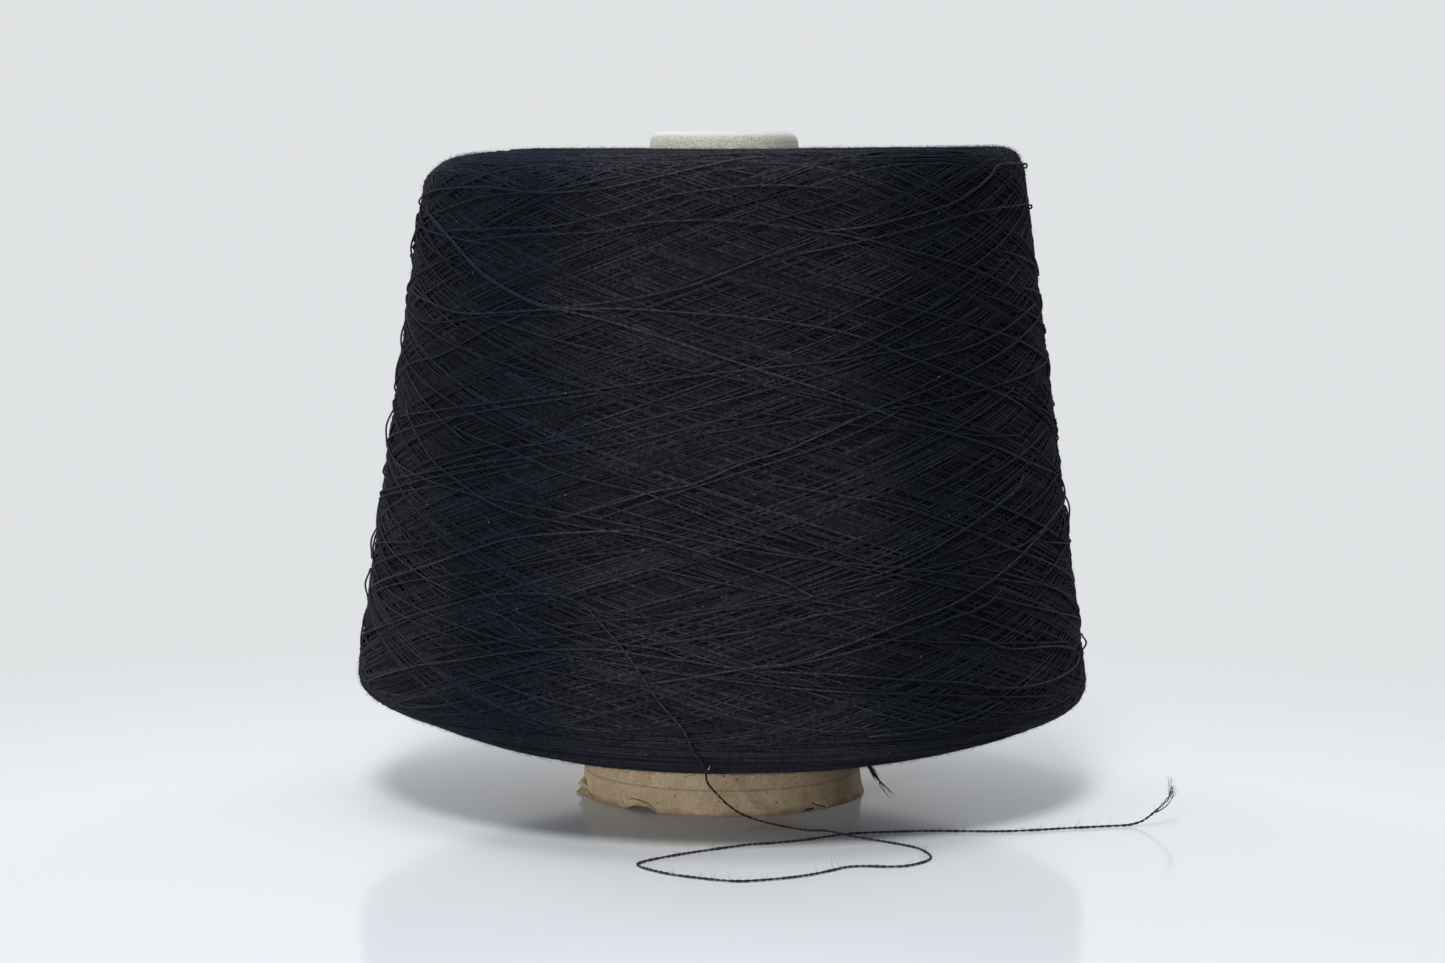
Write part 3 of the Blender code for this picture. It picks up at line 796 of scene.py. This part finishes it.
strays = [strayThread(seenOnFlank(pixels), strayForm["drawn"]) for pixels in seenRoutes.values()]
strays.append(strayThread(strayForm["lastRoute"], strayForm["drawn"], strayForm["lastBulge"], tuckEnd=False))
strays += [curl(*place) for place in curlForm["places"]]
strays.append(lintBit())
strays += [standingLoop(*values) for values in strayForm["loops"]]
lowest, highest = strayForm["room"]
loose, raised = strayForm["loose"], strayForm["raised"]
for _ in range(loose["count"]):
    shares, turns, highs = chanceStroke(loose)
    highs = highs + chance.normal(0, loose["waver"], loose["points"])
    highs = highs + chance.uniform(-loose["bow"], loose["bow"]) * shares * (1 - shares)
    route = [(turn, high) for turn, high in zip(turns, highs) if lowest < high < highest]
    if len(route) > 2:
        strays.append(strayThread(route, loose))
for _ in range(raised["count"]):
    _, turns, highs = chanceStroke(raised)
    if lowest < highs[-1] < highest:
        strays.append(strayThread(zip(turns, highs), raised))
makeTurns("stray_threads", strays)
print("stray threads are laid")

fuzzForm = dict(
    points=3, sides=3, radius=0.000023, thinning=0.6, length=(0.0005, 0.0017), tone=1.3, sunk=0.0003,
    lean=(0.5, 1.2), curving=(0.6, 0.9), aside=(0.3, 0.5, 0.8), count=8500, inset=0.004,
    rimCount=5000, rimPast=0.002, rimWidth=0.0045, lowCount=9500, lowFrom=0.012, lowPast=0.006,
)


def makeFuzz(name, along):  # fine hairs that stand off the thread
    form, count = fuzzForm, len(along)
    roots, facing = onPackage(chance.uniform(0, 2 * np.pi, (count, 1)), along[:, None], -form["sunk"])
    sideways = unit(np.cross(facing, chance.normal(0, 1, (count, 1, 3))))
    length = chance.uniform(*form["length"], (count, 1, 1))
    lean = chance.uniform(*form["lean"], (count, 1, 1))
    share = np.linspace(0, 1, form["points"])[None, :, None]
    bend = lean * share * gained(share, *form["curving"])
    paths = roots + length * share * (facing * np.cos(bend) + sideways * np.sin(bend))
    thin = form["radius"] * (1 - form["thinning"] * share[:, :, 0])
    makeTurns(name, [toned(tubes(paths, thin, form["sides"], form["aside"]), form["tone"])])


allOver = chance.uniform(fuzzForm["inset"], faceEnd - fuzzForm["inset"], fuzzForm["count"])
topRim = chance.normal(highEdge + fuzzForm["rimPast"], fuzzForm["rimWidth"], fuzzForm["rimCount"])
makeFuzz("thread_fuzz", np.concatenate([allOver, topRim]))
lowRim = chance.uniform(fuzzForm["lowFrom"], lowEdge + fuzzForm["lowPast"], fuzzForm["lowCount"])
makeFuzz("underside_fuzz", lowRim)
print("fuzz stands")


noseFoot, noseTop = (corner.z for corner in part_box("nose_sleeve"))
noseForm = dict(steps=220, rows=16, bendRows=14, thickness=0.0006, rounding=0.0030, topFlat=0.0004)
bendHeight = noseTop - noseForm["rounding"]
bendInset = noseForm["rounding"] / np.cos(coneForm["halfAngle"])
noseCentre = np.array([coneRadius(bendHeight) - bendInset, bendHeight])
lipRadius = noseCentre[0] - noseForm["topFlat"]
paperForm = dict(
    steps=280, fineStep=0.3, fineTurns=[(-178, -151), (-134, -112), (-56, -42)],
    rows=[(0.0045, 22), (0.0082, 20), (0.0135, 12)],  # heights, and how many rows up to them
    upperRows=24, topRows=7, boreRows=18, rimRows=4, outerShare=0.7,
    score=0.0063, scoreWidth=0.0004, scoreDepth=0.0002, flare=0.0006, flareHeight=0.004, flareTurn=0.5,
    rimRounding=0.0005, innerRimTurn=0.5, sleeveGap=0.0003, covered=(0.157, 0.1672), recess=0.0009,
    top=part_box("paper_cone")[1].z, lipFoot=0.165, boreTop=0.162,
    ears=[  # azimuth, height, width, tall, outward, wrinkles
        (-170, 0.0028, 9, 0.0014, 0.0017, 0.00022), (-171, 0.0003, 10, 0.0015, 0.0018, 0.00010),
        (-129, 0.0026, 7, 0.0016, 0.0006, 0.00010), (-116, 0.0020, 5, 0.0014, 0.0005, 0.00008),
    ],
    earPoint=1.3, wrinkleLength=0.0011, wrinkleSlant=0.00012,
    dents=[  # azimuth, width, upward, inward
        (-124, 8, 0.0011, 0.0005), (-52, 4, 0.0006, 0.0003), (83, 6, 0.0006, 0.0004),
    ],
    dentSlope=1.7, dentUpTo=0.006, dentInTo=0.008,
    ripples=[(0.00010, 3, 1), (0.00004, 8, 2.4)], rippleTo=0.03,  # depth, how many, phase
    creases=[  # azimuth and height in mm at both ends
        ((-129.5, 2.5), (-124.0, 1.7)), ((-124.0, 1.7), (-117.5, 0.5)), ((-172.0, 1.9), (-164.0, 1.5)),
        ((-164.0, 1.5), (-154.0, 0.5)), ((-170.0, 4.3), (-163.0, 2.7)), ((-50.0, 1.5), (-44.0, 0.6)),
    ],
    creaseWidth=0.42, creaseDepth=0.00045,
)
paperLook = dict(
    tan=(0.366, 0.273, 0.170, 1), pale=(0.421, 0.330, 0.218, 1), dark=(0.160, 0.104, 0.056, 1),
    fleck=(0.060, 0.038, 0.022, 1), light=(0.60, 0.52, 0.39, 1), specular=0.15,
    mottleNoise=(150, 5), cloudNoise=(45, 2), fleckNoise=(900, 2), grainNoise=(4200, 2),
    fibreNoise=(1500, 3, (1, 1, 0.5), 2.2), mottleSpan=(0.3, 0.7), footSway=0.0012,
    # marks: where each starts, where it is full, how strong it is; the crease mark is painted shade along
    # the creases
    cloud=(0.35, 0.65, 0.14), paleFibre=(0.56, 0.70, 0.6), darkFibre=(0.44, 0.30, 0.7),
    flecks=(0.70, 0.76, 1), score=(0.00035, 0.00005, 0.33), crease=(0.15, 0.9, 0.8),
    foot=(0.0016, 0.0002, 0.6),
    roughness=(0.72, 0.22), fibreBump=0.7, grainBump=0.5, mottleBump=0.4, bump=0.6, bumpDepth=0.00025,
)


def fromAzimuth(turn, azimuth):  # degrees on from an azimuth, the short way round
    return np.degrees(np.angle(np.exp(1j * (turn - np.radians(azimuth)))))


def creaseShare(turn, height):  # 1 in the middle of a crease, 0 at its edge
    deepest = 0
    for (startTurn, startHigh), (endTurn, endHigh) in paperForm["creases"]:
        on = fromAzimuth(turn, startTurn)
        share = np.clip(on / (endTurn - startTurn), 0, 1)
        past = (on - share * (endTurn - startTurn)) * np.radians(1) * coneForm["baseRadius"] / mm
        away = np.hypot(height / mm - startHigh - share * (endHigh - startHigh), past)
        deepest = np.maximum(deepest, ramp(away, paperForm["creaseWidth"], 0))
    return deepest


def shapePaper(turn, radius, height):  # the flare, score, creases, ears, dents and ripples of the paper
    form = paperForm
    outside = radius > coneRadius(height) - form["outerShare"] * coneForm["wall"]
    change = form["flare"] * ramp(height, form["flareHeight"], 0) ** 2
    change = change * (0.5 + 0.5 * np.cos(turn + form["flareTurn"]))
    crease = np.where(outside, creaseShare(turn, height), 0)
    score = np.where(outside, hump(height, form["score"], form["scoreWidth"]), 0)
    change = change - form["creaseDepth"] * crease - form["scoreDepth"] * score
    for azimuth, middle, width, tall, out, wrinkle in form["ears"]:
        away = fromAzimuth(turn, azimuth)
        bulge = ramp(abs(away), width, 0) ** form["earPoint"] * hump(height, middle, tall)
        wave = np.sin((height + form["wrinkleSlant"] * away) / form["wrinkleLength"] * 2 * np.pi)
        change = change + (out + wrinkle * wave) * bulge
    lift = 0
    for azimuth, width, up, inward in form["dents"]:
        away = abs(fromAzimuth(turn, azimuth))
        dent = np.clip(form["dentSlope"] * (1 - away / width), 0, 1)
        lift = lift + up * dent * ramp(height, form["dentUpTo"], 0)
        change = change - inward * dent * ramp(height, form["dentInTo"], 0)
    ripple = sum(depth * np.sin(count * turn + phase) for depth, count, phase in form["ripples"])
    change = change + ripple * ramp(height, form["rippleTo"], 0)
    return radius + change, height + lift, crease


def quarterBend(rows):  # outward and upward shares round the bend of the nose
    turn = np.linspace(coneForm["halfAngle"], np.pi / 2, rows)
    return np.stack([np.cos(turn), np.sin(turn)], 1)


def paperOutline():  # up the outside, under the nose sleeve, over the lip and down the bore
    form = paperForm
    rim, sleeveFoot = form["rimRounding"], noseFoot - form["sleeveGap"]
    heights = [rim]
    for top, count in form["rows"] + [(sleeveFoot, form["upperRows"])]:
        heights += np.linspace(heights[-1], top, count)[1:].tolist()
    outer = [(coneRadius(high), high) for high in heights]
    covered = [(coneRadius(high) - form["recess"], high) for high in (sleeveFoot, *form["covered"])]
    top = noseCentre + (noseForm["rounding"] - form["recess"]) * quarterBend(form["topRows"])
    lip = [(lipRadius, form["top"]), (lipRadius, form["lipFoot"])]
    down = np.linspace(form["boreTop"], rim, form["boreRows"])
    bore = [(coneRadius(high) - coneForm["wall"], high) for high in down]
    quarter = np.linspace(0, np.pi / 2, form["rimRows"])[:-1]
    outerRim = np.stack([coneRadius(0) - rim * (1 - np.sin(quarter)), rim * (1 - np.cos(quarter))], 1)
    quarter = quarter + form["innerRimTurn"]
    innerRadius = coneRadius(0) - coneForm["wall"] + rim * (1 - np.cos(quarter))
    innerRim = np.stack([innerRadius, rim * (1 - np.sin(quarter))], 1)
    return np.vstack([outerRim, outer, covered, top, lip, bore, innerRim])


def paperFinish():
    look = paperLook
    finish = newFinish("kraftPaper", specularIORLevel=look["specular"])
    mottle = finish.between(finish.noise(*look["mottleNoise"]), *look["mottleSpan"])
    fibres, grain = finish.noise(*look["fibreNoise"]), finish.noise(*look["grainNoise"])
    height = finish.axis("Z")
    colour = finish.mix(mottle, look["tan"], look["pale"])
    for value, kind, tint in (
        (finish.noise(*look["cloudNoise"]), "cloud", "dark"),
        (fibres, "paleFibre", "light"),
        (fibres, "darkFibre", "dark"),
        (finish.noise(*look["fleckNoise"]), "flecks", "fleck"),
        (abs(height - paperForm["score"]), "score", "fleck"),
        # painted shade along the creases
        (finish.tone(), "crease", "fleck"),
        (height + look["footSway"] * (mottle - 0.5), "foot", "dark"),
    ):
        colour = finish.stain(colour, value, *look[kind], look[tint])
    relief = fibres * look["fibreBump"] + grain * look["grainBump"] + mottle * look["mottleBump"]
    finish.give(baseColor=colour, roughness=gained(grain, *look["roughness"]))
    finish.give(normal=finish.bump(relief, look["bump"], look["bumpDepth"]))
    return finish


def paperTurns():  # evenly round the cone, and closer where it is creased
    turns = [np.linspace(-180, 180, paperForm["steps"], endpoint=False)]
    for low, high in paperForm["fineTurns"]:
        turns.append(np.arange(low, high, paperForm["fineStep"]))
    return np.radians(np.unique(np.concatenate(turns).round(2)))[:, None]


paperTurn = paperTurns()
paperRadius, paperHeight, paperCrease = shapePaper(paperTurn, *paperOutline().T)
paperShape = woven(upright(paperTurn, paperRadius, paperHeight))
# the crease share goes on as the paper's tone, which masks the painted shade along the creases
paper = makePiece("paper_cone_creased", paperFinish(), *paperShape, paperCrease.ravel())
settle(paper, "cone", "kraft_paper", "paper_cone")
print("paper cone is turned")

noseLook = dict(
    pale=(0.465, 0.465, 0.405, 1), grey=(0.295, 0.295, 0.25, 1), fleck=(0.21, 0.20, 0.17, 1),
    # worn and paleTop: the nose is lighter towards its top
    worn=(0.62, 0.63, 0.60, 1), wornFrom=0.0017, wornTo=0.0003, wornStrength=0.85,
    grainNoise=(2300, 3), cloudNoise=(180, 3), fleckNoise=(1100, 2), grainSpan=(0.34, 0.62),
    cloud=(0.55, 0.75, 0.35), flecks=(0.70, 0.76, 0.7), roughness=(0.8, 0.15), bump=0.7, bumpDepth=0.0003,
    specular=0.2, sheen=0.2, sheenRoughness=0.6,
)


def noseOutline():  # up the outside, over the rounded top to the lip, and back inside
    form, bend = noseForm, quarterBend(noseForm["bendRows"])
    heights = np.linspace(noseFoot, bendHeight, form["rows"])[:-1]
    outer = np.stack([coneRadius(heights), heights], 1)
    inner = outer[::-1] - (form["thickness"], 0)
    lip = np.array([(lipRadius, noseTop), (lipRadius, noseTop - form["thickness"])])
    over = noseCentre + form["rounding"] * bend
    back = noseCentre + (form["rounding"] - form["thickness"]) * bend[::-1]
    return np.vstack([outer, over, lip, back, inner])


def noseFinish():
    look = noseLook
    finish = newFinish("paleNose", specularIORLevel=look["specular"], sheenWeight=look["sheen"],
                       sheenRoughness=look["sheenRoughness"])
    grain = finish.noise(*look["grainNoise"])
    colour = finish.mix(finish.between(grain, *look["grainSpan"]), look["grey"], look["pale"])
    colour = finish.stain(colour, finish.noise(*look["cloudNoise"]), *look["cloud"], look["grey"])
    colour = finish.stain(colour, finish.noise(*look["fleckNoise"]), *look["flecks"], look["fleck"])
    # lighter towards the top of the nose
    paleTopBand = (noseTop - look["wornFrom"], noseTop - look["wornTo"])
    colour = finish.stain(colour, finish.axis("Z"), *paleTopBand, look["wornStrength"], look["worn"])
    finish.give(baseColor=colour, roughness=gained(grain, *look["roughness"]))
    finish.give(normal=finish.bump(grain, look["bump"], look["bumpDepth"]))
    return finish


noseTurn = evenTurns(noseForm["steps"])[:, None]
noseShape = woven(upright(noseTurn, *noseOutline().T))
nose = makePiece("nose_sleeve_velvet", noseFinish(), *noseShape)
settle(nose, "cone", "pale_nose", "nose_sleeve")
print("nose is turned")
